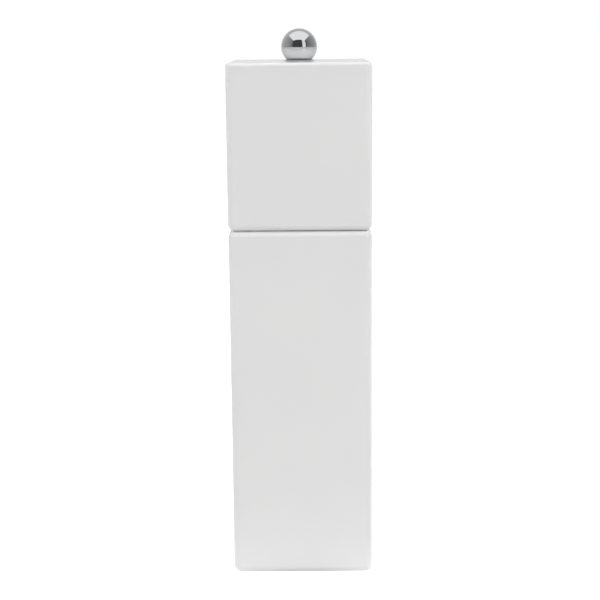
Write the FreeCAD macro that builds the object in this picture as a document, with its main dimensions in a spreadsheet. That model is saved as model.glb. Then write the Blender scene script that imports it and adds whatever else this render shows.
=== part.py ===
"""A square pepper mill in two lacquered wooden blocks, with a ball knob and a steel burr mechanism.

Millimetres, +Z up. The origin is the middle of the base, and the front of the mill faces -Y.
Every size is a cell of the sheet "Sizes", and the features read those cells.
"""

import FreeCAD, Part
import math
import os
import re
import sys

import Sketcher
from FreeCAD import Vector

# Driving dimensions, in millimetres, degrees or counts. Each becomes an aliased cell of the sheet.
SIZES = {
    # Blocks
    "width": 62,
    "body_height": 154.52,
    "seam_gap": 0.08,
    "head_height": 71.4,
    "corner_round": 3,
    "edge_round": 2.8,
    "top_round": 1.6,
    "glue_fit": 0.05,
    "slip_fit": 0.1,
    "turn_fit": 0.3,
    # Bores of the body
    "chamber_d": 36,
    "mouth_chamfer": 0.8,
    "case_bore_d": 39.2,
    "case_bore_depth": 29,
    "flange_recess_d": 52.4,
    "flange_top": 3,
    # Grinder case
    "flange_d": 52,
    "flange_thick": 2,
    "flange_hole_d": 32,
    "sleeve_d": 38.8,
    "sleeve_wall": 1.6,
    "case_screw_circle": 46,
    "case_screw_count": 3,
    # Stator burr
    "stator_top": 17,
    "throat_level": 9,
    "throat_d": 26,
    "stator_foot_d": 29.6,
    "stator_mouth_d": 31.4,
    "stator_fine_teeth": 36,
    "stator_flutes": 9,
    # Rotor burr
    "rotor_bottom": 4,
    "rotor_top": 18,
    "rotor_rest_gap": 0.95,
    "rotor_top_d": 15.2,
    "rotor_recess_d": 15,
    "rotor_recess_depth": 5,
    "rotor_fine_teeth": 32,
    "rotor_flutes": 6,
    "fine_tooth_depth": 0.9,
    "fine_tooth_width": 1.9,
    "fine_tooth_lean": 0.9,
    "flute_depth": 2.2,
    "flute_width": 5,
    "flute_lean": 4,
    # Shaft
    "shaft_bottom": 3.4,
    "seat_square": 5,
    "seat_thread_d": 4.9,
    "journal_d": 8.5,
    "journal_top": 36,
    "drive_square": 6,
    "drive_top": 214,
    "thread_d": 5.9,
    "thread_top": 233.4,
    "thread_chamfer": 0.7,
    "clip_groove_d": 7.2,
    "clip_level": 31.2,
    "clip_thick": 0.8,
    "clip_d": 13,
    "clip_opening": 70,
    # Rotor's nut and washers
    "rotor_washer_d": 12,
    "rotor_washer_thick": 1,
    "nut_flats": 8,
    "nut_thick": 4,
    "nut_chamfer": 0.45,
    "thrust_washer_d": 15,
    "thrust_washer_thick": 1,
    # Bridge and its bush
    "bridge_thick": 1.5,
    "bridge_rim_wall": 2.2,
    "bridge_hub_d": 17,
    "bridge_arm_width": 5,
    "bridge_arms": 3,
    "bush_d": 10.4,
    "bush_flange_d": 14,
    "bush_flange_thick": 0.5,
    "bush_top": 31,
    # Spring
    "spring_wire": 1,
    "spring_mean_d": 11.4,
    "spring_turns": 4.5,
    # Head's spigot and drive plate
    "spigot_depth": 15,
    "tenon_d": 30,
    "tenon_height": 20,
    "head_bore_d": 10.4,
    "plate_d": 27,
    "plate_thick": 1.6,
    "plate_screw_circle": 19,
    "plate_screw_count": 3,
    # Glide ring in the seam
    "glide_d": 50,
    "glide_thick": 0.6,
    # Head's top bush and the knob
    "top_bush_d": 12,
    "top_bush_height": 9,
    "collar_d": 13.2,
    "collar_thick": 0.3,
    "collar_round": 0.1,
    "knob_d": 15.8,
    "knob_top": 240,
    "insert_d": 9,
    "insert_top": 236,
    # Countersunk wood screws
    "screw_d": 2.8,
    "screw_head_d": 5.2,
    "screw_length": 12,
    "screw_tip": 2.4,
    "screw_slot_width": 0.8,
    "screw_slot_length": 3,
    "screw_slot_depth": 1,
}

# Levels that several pieces share, as rules over the sizes.
HEAD_BOTTOM = "(body_height + seam_gap)"
HEAD_TOP = "(body_height + seam_gap + head_height)"
GLIDE_CEILING = "(body_height + glide_thick + 2 * slip_fit)"
FLANGE_BOTTOM = "(flange_top - flange_thick)"
BRIDGE_BOTTOM = "(case_bore_depth - bridge_thick)"
SEAT_BOTTOM = "(rotor_bottom + rotor_recess_depth)"
SPIGOT_BOTTOM = "(body_height - spigot_depth)"
KNOB_BOTTOM = f"({HEAD_TOP} + collar_thick + slip_fit)"
SPRING_BOTTOM = "(rotor_top + slip_fit + thrust_washer_thick)"
SPRING_TOP = f"({BRIDGE_BOTTOM} - bush_flange_thick)"

# The burrs' grinding faces lie on cones of one slope, given as radius lost per millimetre of height.
BURR_SLOPE = "((stator_foot_d - throat_d) / 2 / (throat_level - flange_top))"

# How far a cut runs past a face, so that it always clears it.
CLEAR = "2"

# Two places that are this near are one.
TOUCH = 1e-6

NUT_SIDES = "6"

# Each ring of screws: the diameter it stands on, and how many there are.
CASE_SCREWS = ("case_screw_circle", "case_screw_count")
PLATE_SCREWS = ("plate_screw_circle", "plate_screw_count")

doc = FreeCAD.newDocument("pepper_mill")


def make_sheet():
    """The sheet of driving dimensions, one aliased cell for each."""
    sheet = doc.addObject("Spreadsheet::Sheet", "Sizes")
    for row, (alias, value) in enumerate(SIZES.items(), start=1):
        sheet.set(f"A{row}", alias)
        sheet.set(f"B{row}", str(value))
        sheet.setAlias(f"B{row}", alias)
    doc.recompute()
    return sheet


SHEET = make_sheet()


def rule(text):
    """A rule over the sizes, written as the document's expressions are."""
    return re.sub(r"[a-z]\w*", lambda word: f"Sizes.{word[0]}" if word[0] in SIZES else word[0], text)


def value(text):
    """The number that a rule gives now."""
    return float(SHEET.evalExpression(rule(text)))


# Sketches and features


def new_body(label):
    body = doc.addObject("PartDesign::Body", label)
    body.Label = label
    return body


def origin_feature(body, role):
    return next(f for f in body.Origin.OriginFeatures if f.Role == role)


def new_sketch(body, name, plane="XZ_Plane", level=None, aside=None):
    """An empty sketch on one of the body's planes, raised to a level or moved aside along its own X."""
    sketch = body.newObject("Sketcher::SketchObject", name)
    sketch.AttachmentSupport = (origin_feature(body, plane), [""])
    sketch.MapMode = "FlatFace"
    if level is not None:
        sketch.setExpression("AttachmentOffset.Base.z", rule(level))
    if aside is not None:
        sketch.setExpression("AttachmentOffset.Base.x", rule(aside))
    return sketch


def bind(sketch, kind, *places, rule_text):
    """A sketch dimension that follows a rule."""
    number = sketch.addConstraint(Sketcher.Constraint(kind, *places, value(rule_text)))
    name = f"size_{number}"
    sketch.renameConstraint(number, name)
    sketch.setExpression(f"Constraints.{name}", rule(rule_text))


def pin_point(sketch, edge, end, x, y):
    """Ties one end of an edge to the place that two rules give, with the axes themselves at zero."""
    origin = (-1, 1)
    for kind, axis, text in (("DistanceX", -2, x), ("DistanceY", -1, y)):
        if abs(value(text)) < TOUCH:
            sketch.addConstraint(Sketcher.Constraint("PointOnObject", edge, end, axis))
        else:
            bind(sketch, kind, *origin, edge, end, rule_text=text)


def add_outline(sketch, points):
    """A closed outline of straight lines through points, each a pair of rules."""
    places = [Vector(value(x), value(y), 0) for x, y in points]
    count = len(points)
    first = sketch.GeometryCount
    for i in range(count):
        sketch.addGeometry(Part.LineSegment(places[i], places[(i + 1) % count]), False)
    for i in range(count):
        after = first + (i + 1) % count
        sketch.addConstraint(Sketcher.Constraint("Coincident", first + i, 2, after, 1))
    for i, (x, y) in enumerate(points):
        pin_point(sketch, first + i, 1, x, y)
    return sketch


def add_circle(sketch, diameter, x="0", y="0"):
    """A circle with its middle at the place that two rules give."""
    middle = Vector(value(x), value(y), 0)
    circle = sketch.addGeometry(Part.Circle(middle, Vector(0, 0, 1), value(diameter) / 2), False)
    pin_point(sketch, circle, 3, x, y)
    bind(sketch, "Diameter", circle, rule_text=diameter)
    return sketch


def box_outline(width, depth):
    """The corners of a rectangle about the origin."""
    x, y = f"({width}) / 2", f"({depth}) / 2"
    return [(f"-{x}", f"-{y}"), (x, f"-{y}"), (x, y), (f"-{x}", y)]


def ring_outline(inner, outer, bottom, top):
    """Half the section of a plain ring, from its diameters and levels."""
    inside, outside = f"({inner}) / 2", f"({outer}) / 2"
    return [(inside, bottom), (outside, bottom), (outside, top), (inside, top)]


def feature(body, kind, name, sketch, **settings):
    made = body.newObject(f"PartDesign::{kind}", name)
    made.Profile = sketch
    for key, setting in settings.items():
        setattr(made, key, setting)
    return made


def revolve(body, name, points, kind="Revolution", angle=360, aside=None):
    """A turned solid, or a turned cut, from half its section on the body's XZ plane."""
    sketch = add_outline(new_sketch(body, f"{name}_section", aside=aside), points)
    return feature(body, kind, name, sketch, ReferenceAxis=(sketch, ["V_Axis"]), Angle=angle)


def pad(body, name, outline, bottom, height):
    """An outline on a level plane, raised by a height."""
    sketch = add_outline(new_sketch(body, f"{name}_outline", "XY_Plane", bottom), outline)
    made = feature(body, "Pad", name, sketch)
    made.setExpression("Length", rule(height))
    return made


def confirm_cut(made, volume_before):
    """Stops the build if a cut took nothing away."""
    doc.recompute()
    if not made.Shape.Volume < volume_before:
        sys.exit(f"{made.Name} cuts nothing")


def cut_up(body, name, sketch, height):
    """A cut from a level sketch upwards."""
    before = body.Shape.Volume
    made = feature(body, "Pocket", name, sketch, Reversed=True)
    made.setExpression("Length", rule(height))
    confirm_cut(made, before)
    return made


def cut_along(body, name, outline, level, direction, length):
    """A cut from a level outline along a slanting direction, given as three rules."""
    sketch = add_outline(new_sketch(body, f"{name}_outline", "XY_Plane", level), outline)
    before = body.Shape.Volume
    made = feature(body, "Pocket", name, sketch, UseCustomVector=True, AlongSketchNormal=False)
    made.Direction = Vector(*(value(part) for part in direction))
    for axis, part in zip("xyz", direction):
        made.setExpression(f"Direction.{axis}", rule(part))
    made.setExpression("Length", rule(length))
    confirm_cut(made, before)
    return made


def pattern(body, name, originals, count):
    """The features repeated round the mill's axis."""
    made = body.newObject("PartDesign::PolarPattern", name)
    made.Originals = originals
    made.Axis = (origin_feature(body, "Z_Axis"), [""])
    made.Angle = 360
    made.setExpression("Occurrences", rule(count))
    body.Tip = made
    return made


def round_edges(body, name, radius, wanted):
    """Rounds those edges of the body so far that a test picks."""
    doc.recompute()
    base = body.Tip
    edges = [f"Edge{i}" for i, edge in enumerate(base.Shape.Edges, start=1) if wanted(edge)]
    made = body.newObject("PartDesign::Fillet", name)
    made.Base = (base, edges)
    made.setExpression("Radius", rule(radius))
    doc.recompute()
    return made


def is_upright(edge):
    box = edge.BoundBox
    return box.ZLength > TOUCH and box.XLength < TOUCH and box.YLength < TOUCH


def lies_at(*levels, across):
    """A test for level edges at the heights that rules give, no narrower than a width."""
    heights = [value(level) for level in levels]
    least = value(across)

    def wanted(edge):
        box = edge.BoundBox
        level = box.ZLength < TOUCH and any(abs(box.ZMin - height) < TOUCH for height in heights)
        return level and max(box.XLength, box.YLength) > least

    return wanted


# Countersunk wood screws, which stand head down in the part that they hold


def screw_section(head_level):
    """Half a screw's section about its own axis, from its flat head up to its point."""
    shank, head, tip = "screw_d / 2", "screw_head_d / 2", f"{head_level} + screw_length"
    neck = f"{head_level} + {head} - {shank}"
    return [("0", head_level), (head, head_level), (shank, neck), (shank, f"{tip} - screw_tip"), ("0", tip)]


def screw_hole_section(head_level, top):
    """The section of the cut that takes such a screw, from its head's face up to a level."""
    shank, head = "screw_d / 2 + slip_fit", "screw_head_d / 2 + slip_fit"
    neck = f"{head_level} + {head} - ({shank})"
    below = f"{head_level} - {CLEAR}"
    return [("0", below), (head, below), (head, head_level), (shank, neck), (shank, top), ("0", top)]


def make_screws(label, ring, head_level):
    """A ring of cross-slotted screws, each a solid of its own."""
    body = new_body(label)
    circle, count = ring
    aside = f"{circle} / 2"
    turned = revolve(body, f"{label}_turned", screw_section(head_level), aside=aside)
    doc.recompute()
    slot = new_sketch(body, f"{label}_slot_outline", "XY_Plane", head_level, aside=aside)
    add_outline(slot, box_outline("screw_slot_length", "screw_slot_width"))
    cross = new_sketch(body, f"{label}_cross_outline", "XY_Plane", head_level, aside=aside)
    add_outline(cross, box_outline("screw_slot_width", "screw_slot_length"))
    cuts = [cut_up(body, f"{label}_slot", slot, "screw_slot_depth")]
    cuts.append(cut_up(body, f"{label}_cross", cross, "screw_slot_depth"))
    pattern(body, f"{label}_ring", [turned, *cuts], count)
    return body


def cut_screw_holes(body, name, ring, head_level, top):
    """Holes for a ring of screws, through a plate or into wood."""
    circle, count = ring
    points = screw_hole_section(head_level, top)
    hole = revolve(body, name, points, "Groove", aside=f"{circle} / 2")
    return pattern(body, f"{name}_ring", [hole], count)


# The two lacquered blocks


def make_block(label, bottom, height, top_round):
    """A square block with rounded corners and rims."""
    body = new_body(label)
    pad(body, f"{label}_solid", box_outline("width", "width"), bottom, height)
    round_edges(body, f"{label}_corners", "corner_round", is_upright)
    round_edges(body, f"{label}_lower_rim", "edge_round", lies_at(bottom, across="0"))
    round_edges(body, f"{label}_upper_rim", top_round, lies_at(f"{bottom} + {height}", across="0"))
    return body


def make_body_block():
    """The lower block, bored right through: the case below, the pepper chamber above."""
    body = make_block("body_block", "0", "body_height", "edge_round")
    recess, case, chamber = "flange_recess_d / 2", "case_bore_d / 2", "chamber_d / 2"
    mouth = f"{chamber} + mouth_chamfer"
    bores = [
        ("0", f"-{CLEAR}"),
        (recess, f"-{CLEAR}"),
        (recess, "flange_top"),
        (case, "flange_top"),
        (case, "case_bore_depth"),
        (chamber, "case_bore_depth"),
        (chamber, "body_height - mouth_chamfer"),
        (mouth, "body_height"),
        (mouth, f"body_height + {CLEAR}"),
        ("0", f"body_height + {CLEAR}"),
    ]
    revolve(body, "body_bores", bores, "Groove")
    top = f"{FLANGE_BOTTOM} + screw_length + slip_fit"
    cut_screw_holes(body, "body_pilots", CASE_SCREWS, FLANGE_BOTTOM, top)
    return body


def make_head_block():
    """The upper block, with seats below for its glide ring and spigot, and a bore up to the knob's bush."""
    body = make_block("head_block", HEAD_BOTTOM, "head_height", "top_round")
    socket, bore, bush = "tenon_d / 2 + glue_fit", "head_bore_d / 2", "top_bush_d / 2 + glue_fit"
    seat = "glide_d / 2 + slip_fit"
    socket_top = f"{GLIDE_CEILING} + tenon_height + glue_fit"
    bush_bottom = f"{HEAD_TOP} - top_bush_height"
    bores = [
        ("0", f"{HEAD_BOTTOM} - {CLEAR}"),
        (seat, f"{HEAD_BOTTOM} - {CLEAR}"),
        (seat, GLIDE_CEILING),
        (socket, GLIDE_CEILING),
        (socket, socket_top),
        (bore, socket_top),
        (bore, bush_bottom),
        (bush, bush_bottom),
        (bush, f"{HEAD_TOP} + {CLEAR}"),
        ("0", f"{HEAD_TOP} + {CLEAR}"),
    ]
    revolve(body, "head_bores", bores, "Groove")
    return body


# Pieces that turn with the head


def make_head_spigot():
    """A turned plug: a tenon glued into the head, and a wider foot that centres the head in the body."""
    body = new_body("head_spigot")
    bore, tenon, foot = "head_bore_d / 2", "tenon_d / 2", "chamber_d / 2 - turn_fit"
    plate = "plate_d / 2 + slip_fit"
    tenon_top = f"{GLIDE_CEILING} + tenon_height"
    plate_top = f"{SPIGOT_BOTTOM} + plate_thick"
    section = [
        (bore, plate_top),
        (plate, plate_top),
        (plate, SPIGOT_BOTTOM),
        (f"{foot} - mouth_chamfer", SPIGOT_BOTTOM),
        (foot, f"{SPIGOT_BOTTOM} + mouth_chamfer"),
        (foot, GLIDE_CEILING),
        (tenon, GLIDE_CEILING),
        (tenon, tenon_top),
        (bore, tenon_top),
    ]
    revolve(body, "spigot_turned", section)
    top = f"{SPIGOT_BOTTOM} + screw_length + slip_fit"
    cut_screw_holes(body, "spigot_pilots", PLATE_SCREWS, SPIGOT_BOTTOM, top)
    return body


def make_drive_plate():
    """The disc whose square hole turns the shaft."""
    body = new_body("drive_plate")
    top = f"{SPIGOT_BOTTOM} + plate_thick"
    revolve(body, "plate_disc", ring_outline("0", "plate_d", SPIGOT_BOTTOM, top))
    doc.recompute()
    hole = new_sketch(body, "plate_square", "XY_Plane", SPIGOT_BOTTOM)
    side = "drive_square + 2 * slip_fit"
    cut_up(body, "plate_hole", add_outline(hole, box_outline(side, side)), f"plate_thick + {CLEAR}")
    cut_screw_holes(body, "plate_screw_holes", PLATE_SCREWS, SPIGOT_BOTTOM, f"{top} + {CLEAR}")
    return body


def make_top_bush():
    """A plain bush in the head's top, round the shaft's threaded end."""
    body = new_body("top_bush")
    bottom = f"{HEAD_TOP} - top_bush_height"
    section = ring_outline("thread_d + 2 * slip_fit", "top_bush_d", bottom, HEAD_TOP)
    revolve(body, "top_bush_turned", section)
    return body


def make_knob_collar():
    """The thin collar under the ball, with a rounded upper edge."""
    body = new_body("knob_collar")
    top = f"{HEAD_TOP} + collar_thick"
    revolve(body, "collar_turned", ring_outline("thread_d + 4 * slip_fit", "collar_d", HEAD_TOP, top))
    round_edges(body, "collar_edge", "collar_round", lies_at(top, across="collar_d - collar_round"))
    return body


def make_glide_ring():
    """A flat ring round the spigot, let into the head, which keeps the blocks from rubbing."""
    body = new_body("glide_ring")
    bottom = "body_height + slip_fit"
    top = f"{bottom} + glide_thick"
    spigot = "chamber_d - 2 * turn_fit"
    revolve(body, "glide_turned", ring_outline(f"{spigot} + 2 * slip_fit", "glide_d", bottom, top))
    return body


# The knob


def make_knob():
    """A ball cut flat where it meets its collar, with a blind hole for the insert."""
    body = new_body("knob")
    ball = body.newObject("PartDesign::AdditiveSphere", "knob_ball")
    ball.setExpression("Radius", rule("knob_d / 2"))
    ball.AttachmentSupport = (origin_feature(body, "XY_Plane"), [""])
    ball.MapMode = "FlatFace"
    ball.setExpression("AttachmentOffset.Base.z", rule("knob_top - knob_d / 2"))
    doc.recompute()
    hole = "insert_d / 2 + glue_fit"
    hole_top = "insert_top + turn_fit"
    cut = [
        ("0", f"knob_top - knob_d - {CLEAR}"),
        ("knob_d", f"knob_top - knob_d - {CLEAR}"),
        ("knob_d", KNOB_BOTTOM),
        (hole, KNOB_BOTTOM),
        (hole, hole_top),
        ("0", hole_top),
    ]
    revolve(body, "knob_foot", cut, "Groove")
    return body


def make_knob_insert():
    """The threaded insert that rides on the shaft's thread."""
    body = new_body("knob_insert")
    section = ring_outline("thread_d + slip_fit", "insert_d", KNOB_BOTTOM, "insert_top")
    revolve(body, "insert_turned", section)
    return body


# The shaft and what turns with it below


def make_shaft():
    """From the bottom: a thread, the rotor's square seat, a journal, the square drive and the top thread."""
    body = new_body("shaft")
    seat, journal, thread = "seat_thread_d / 2", "journal_d / 2", "thread_d / 2"
    groove = "clip_groove_d / 2"
    drive_bottom = f"journal_top - {journal} + {thread}"
    section = [
        ("0", "shaft_bottom"),
        (f"{seat} - thread_chamfer", "shaft_bottom"),
        (seat, "shaft_bottom + thread_chamfer"),
        (seat, "rotor_top"),
        (journal, "rotor_top"),
        (journal, "clip_level"),
        (groove, "clip_level"),
        (groove, "clip_level + clip_thick"),
        (journal, "clip_level + clip_thick"),
        (journal, drive_bottom),
        (thread, "journal_top"),
        (thread, "thread_top - thread_chamfer"),
        (f"{thread} - thread_chamfer", "thread_top"),
        ("0", "thread_top"),
    ]
    revolve(body, "shaft_turned", section)
    seat_square, drive_square = (box_outline(side, side) for side in ("seat_square", "drive_square"))
    pad(body, "shaft_seat", seat_square, SEAT_BOTTOM, f"rotor_top - {SEAT_BOTTOM}")
    pad(body, "shaft_drive", drive_square, drive_bottom, f"drive_top - ({drive_bottom})")
    return body


def make_shaft_clip():
    """An open ring in the shaft's groove, which rests on the bush and keeps the shaft in."""
    body = new_body("shaft_clip")
    slack = "slip_fit / 2"
    bottom, top = f"clip_level + {slack}", f"clip_level + clip_thick - {slack}"
    clip = revolve(body, "clip_turned", ring_outline("clip_groove_d + slip_fit", "clip_d", bottom, top))
    clip.setExpression("Angle", rule("360 - clip_opening"))
    return body


def tooth_outline(inner, outer, width):
    """A three-cornered cut on +X, with its point at one radius and its base at another."""
    return [(inner, "0"), (outer, f"-{width} / 2"), (outer, f"{width} / 2")]


def rotor_radius(level):
    """The rotor's radius on its grinding cone, at a level."""
    return f"(throat_d / 2 - rotor_rest_gap - ({level} - throat_level) * {BURR_SLOPE})"


def make_rotor():
    """The inner burr: fine teeth on its grinding cone, and leaning flutes above that draw the corns in."""
    body = new_body("rotor")
    foot, throat = rotor_radius("rotor_bottom"), rotor_radius("throat_level")
    recess = "rotor_recess_d / 2"
    section = [
        ("0", SEAT_BOTTOM),
        (recess, SEAT_BOTTOM),
        (recess, "rotor_bottom"),
        (foot, "rotor_bottom"),
        (throat, "throat_level"),
        ("rotor_top_d / 2", "rotor_top"),
        ("0", "rotor_top"),
    ]
    revolve(body, "rotor_turned", section)
    doc.recompute()
    side = "seat_square + slip_fit"
    seat = new_sketch(body, "rotor_seat_outline", "XY_Plane", SEAT_BOTTOM)
    add_outline(seat, box_outline(side, side))
    cut_up(body, "rotor_seat", seat, f"rotor_top - {SEAT_BOTTOM} + {CLEAR}")
    height = "(throat_level - rotor_bottom)"
    fine = tooth_outline(f"{foot} - fine_tooth_depth", f"{foot} + fine_tooth_depth", "2 * fine_tooth_width")
    slant = (f"-{height} * {BURR_SLOPE}", "fine_tooth_lean", height)
    groove = cut_along(body, "rotor_tooth", fine, "rotor_bottom", slant, f"{height} * 1.1")
    pattern(body, "rotor_teeth", [groove], "rotor_fine_teeth")
    doc.recompute()
    top = "rotor_top_d / 2"
    fall = "(rotor_top - throat_level)"
    flute = tooth_outline(f"{top} - flute_depth", f"{top} + flute_depth", "2 * flute_width")
    slope = (f"{throat} - {top}", "flute_lean", f"-{fall}")
    channel = cut_along(body, "rotor_flute", flute, "rotor_top", slope, f"{fall} * 1.1")
    pattern(body, "rotor_flutes_ring", [channel], "rotor_flutes")
    return body


def make_rotor_washer():
    body = new_body("rotor_washer")
    bottom = f"{SEAT_BOTTOM} - rotor_washer_thick"
    section = ring_outline("seat_thread_d + 2 * slip_fit", "rotor_washer_d", bottom, SEAT_BOTTOM)
    revolve(body, "rotor_washer_turned", section)
    return body


def make_rotor_nut():
    """A hexagon nut with turned corners, under the rotor's washer."""
    body = new_body("rotor_nut")
    top = f"({SEAT_BOTTOM} - rotor_washer_thick)"
    bottom = f"({top} - nut_thick)"
    corner = "nut_flats / 2 / cos(30)"
    blank = [
        ("0", bottom),
        (f"{corner} - nut_chamfer", bottom),
        (corner, f"{bottom} + nut_chamfer"),
        (corner, top),
        ("0", top),
    ]
    revolve(body, "nut_blank", blank)
    doc.recompute()
    # One flat is cut square to the blank, and repeated five times more.
    flat = new_sketch(body, "nut_flat_outline", "XY_Plane", f"{bottom} - {CLEAR}")
    inner, outer, half = "nut_flats / 2", "nut_flats", "nut_flats"
    add_outline(flat, [(inner, f"-{half}"), (outer, f"-{half}"), (outer, half), (inner, half)])
    side = cut_up(body, "nut_flat", flat, f"nut_thick + 2 * {CLEAR}")
    pattern(body, "nut_flats_ring", [side], NUT_SIDES)
    doc.recompute()
    bore = new_sketch(body, "nut_bore_outline", "XY_Plane", f"{bottom} - {CLEAR}")
    cut_up(body, "nut_bore", add_circle(bore, "seat_thread_d + slip_fit"), f"nut_thick + 2 * {CLEAR}")
    return body


def make_thrust_washer():
    body = new_body("thrust_washer")
    bottom = "rotor_top + slip_fit"
    top = f"{bottom} + thrust_washer_thick"
    section = ring_outline("journal_d + 2 * slip_fit", "thrust_washer_d", bottom, top)
    revolve(body, "thrust_washer_turned", section)
    return body


# The fixed pieces of the grinder


def make_grinder_case():
    """A flanged sleeve: its flange is screwed under the block, and its lip carries the stator."""
    body = new_body("grinder_case")
    sleeve = "sleeve_d / 2"
    inside = f"{sleeve} - sleeve_wall"
    section = [
        ("flange_hole_d / 2", FLANGE_BOTTOM),
        ("flange_d / 2", FLANGE_BOTTOM),
        ("flange_d / 2", "flange_top"),
        (sleeve, "flange_top"),
        (sleeve, BRIDGE_BOTTOM),
        (inside, BRIDGE_BOTTOM),
        (inside, "flange_top"),
        ("flange_hole_d / 2", "flange_top"),
    ]
    revolve(body, "case_turned", section)
    cut_screw_holes(body, "case_screw_holes", CASE_SCREWS, FLANGE_BOTTOM, f"flange_top + {CLEAR}")
    return body


def make_stator():
    """The outer burr: a funnel with leaning flutes over a ring of fine teeth."""
    body = new_body("stator")
    outer = "sleeve_d / 2 - sleeve_wall - glue_fit"
    foot, throat, mouth = "stator_foot_d / 2", "throat_d / 2", "stator_mouth_d / 2"
    section = [
        (foot, "flange_top"),
        (outer, "flange_top"),
        (outer, "stator_top"),
        (mouth, "stator_top"),
        (throat, "throat_level"),
    ]
    revolve(body, "stator_turned", section)
    doc.recompute()
    height = "(throat_level - flange_top)"
    fine = tooth_outline(f"{foot} + fine_tooth_depth", f"{foot} - fine_tooth_depth", "2 * fine_tooth_width")
    slant = (f"-{height} * {BURR_SLOPE}", "-fine_tooth_lean", height)
    groove = cut_along(body, "stator_tooth", fine, "flange_top", slant, f"{height} * 1.1")
    pattern(body, "stator_teeth", [groove], "stator_fine_teeth")
    doc.recompute()
    fall = "(stator_top - throat_level)"
    flute = tooth_outline(f"{mouth} + fine_tooth_depth", f"{mouth} - flute_depth", "2 * flute_width")
    slope = (f"{throat} - {mouth}", "-flute_lean / 2", f"-{fall}")
    channel = cut_along(body, "stator_flute", flute, "stator_top", slope, f"{fall} * 1.05")
    pattern(body, "stator_flutes_ring", [channel], "stator_flutes")
    return body


def make_bridge():
    """A flat spider: a hub for the bush, arms across the chamber, and a rim held between case and wood."""
    body = new_body("bridge")
    top = "case_bore_depth"
    revolve(body, "bridge_hub", ring_outline("0", "bridge_hub_d", BRIDGE_BOTTOM, top))
    half = "bridge_arm_width / 2"
    reach = "sleeve_d / 2 - bridge_rim_wall / 2"
    strip = [("0", f"-{half}"), (reach, f"-{half}"), (reach, half), ("0", half)]
    arm = pad(body, "bridge_arm", strip, BRIDGE_BOTTOM, "bridge_thick")
    pattern(body, "bridge_arms_ring", [arm], "bridge_arms")
    doc.recompute()
    rim = ring_outline("sleeve_d - 2 * bridge_rim_wall", "sleeve_d", BRIDGE_BOTTOM, top)
    revolve(body, "bridge_rim", rim)
    doc.recompute()
    hole = new_sketch(body, "bridge_hole_outline", "XY_Plane", f"{BRIDGE_BOTTOM} - {CLEAR}")
    cut_up(body, "bridge_hole", add_circle(hole, "bush_d + 2 * glue_fit"), f"bridge_thick + 2 * {CLEAR}")
    return body


def make_bridge_bush():
    """A flanged bush that carries the shaft's journal, with the spring against its flange."""
    body = new_body("bridge_bush")
    bore, outer = "journal_d / 2 + slip_fit", "bush_d / 2"
    section = [
        (bore, SPRING_TOP),
        ("bush_flange_d / 2", SPRING_TOP),
        ("bush_flange_d / 2", BRIDGE_BOTTOM),
        (outer, BRIDGE_BOTTOM),
        (outer, "bush_top"),
        (bore, "bush_top"),
    ]
    revolve(body, "bridge_bush_turned", section)
    return body


def helix_point(radius, rise, turn):
    """The place and the unit direction on a helix after so many turns."""
    angle = 2 * math.pi * turn
    place = Vector(radius * math.cos(angle), radius * math.sin(angle), rise * turn)
    along = Vector(-2 * math.pi * radius * math.sin(angle), 2 * math.pi * radius * math.cos(angle), rise)
    return place, along.normalize()


def arc_between(start, corner, end):
    """The arc from start to end whose end tangents meet at the corner."""
    middle = (start + end) / 2
    chord = end - start
    lean = (corner - start).getAngle(chord)
    sagitta = chord.Length / 2 * math.tan(lean / 2)
    return Part.Arc(start, middle + (corner - middle).normalize() * sagitta, end).toShape()


def biarc(start, along, end, along_end):
    """Two tangent arcs that join two places in their given directions."""
    span = end - start
    total = along + along_end
    twice = 2 * (1 - along.dot(along_end))
    reach = (math.sqrt(span.dot(total) ** 2 + twice * span.dot(span)) - span.dot(total)) / twice
    first, second = start + along * reach, end - along_end * reach
    joint = (first + second) / 2
    return [arc_between(start, first, joint), arc_between(joint, second, end)]


def make_spring():
    """A round wire wound as a helix between the thrust washer and the bush's flange."""
    wire, turns = value("spring_wire"), value("spring_turns")
    radius = value("spring_mean_d") / 2
    bottom, top = value(f"{SPRING_BOTTOM} + spring_wire / 2"), value(f"{SPRING_TOP} - spring_wire / 2")
    slack = value("slip_fit")
    rise = (top - bottom - 2 * slack) / turns
    quarters = range(int(turns * 4) + 1)
    stations = [helix_point(radius, rise, quarter / 4) for quarter in quarters]
    arcs = [arc for (p, t), (q, u) in zip(stations, stations[1:]) for arc in biarc(p, t, q, u)]
    start, along = stations[0]
    section = Part.Wire(Part.Circle(start, along, wire / 2).toShape())
    shape = Part.Wire(arcs).makePipeShell([section], True, False)
    spring = doc.addObject("Part::Feature", "spring")
    spring.Label = "spring"
    spring.Shape = shape
    spring.Placement = FreeCAD.Placement(Vector(0, 0, bottom + slack), FreeCAD.Rotation())
    gap = least_gap(radius, rise, turns) - wire
    plain_volume = math.pi * wire**2 / 4 * sum(arc.Length for arc in arcs)
    share = shape.Volume / plain_volume
    print(f"spring: least gap to itself {gap:.2f} mm, {share:.4f} of a straight wire's volume")
    return spring


def least_gap(radius, rise, turns, steps=40):
    """The least distance from one turn of a helix to the next, measured on points."""
    points = [helix_point(radius, rise, i / steps)[0] for i in range(int(turns * steps) + 1)]
    half_turn = steps // 2
    return min((a - b).Length for i, a in enumerate(points) for b in points[i + half_turn:])


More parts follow.
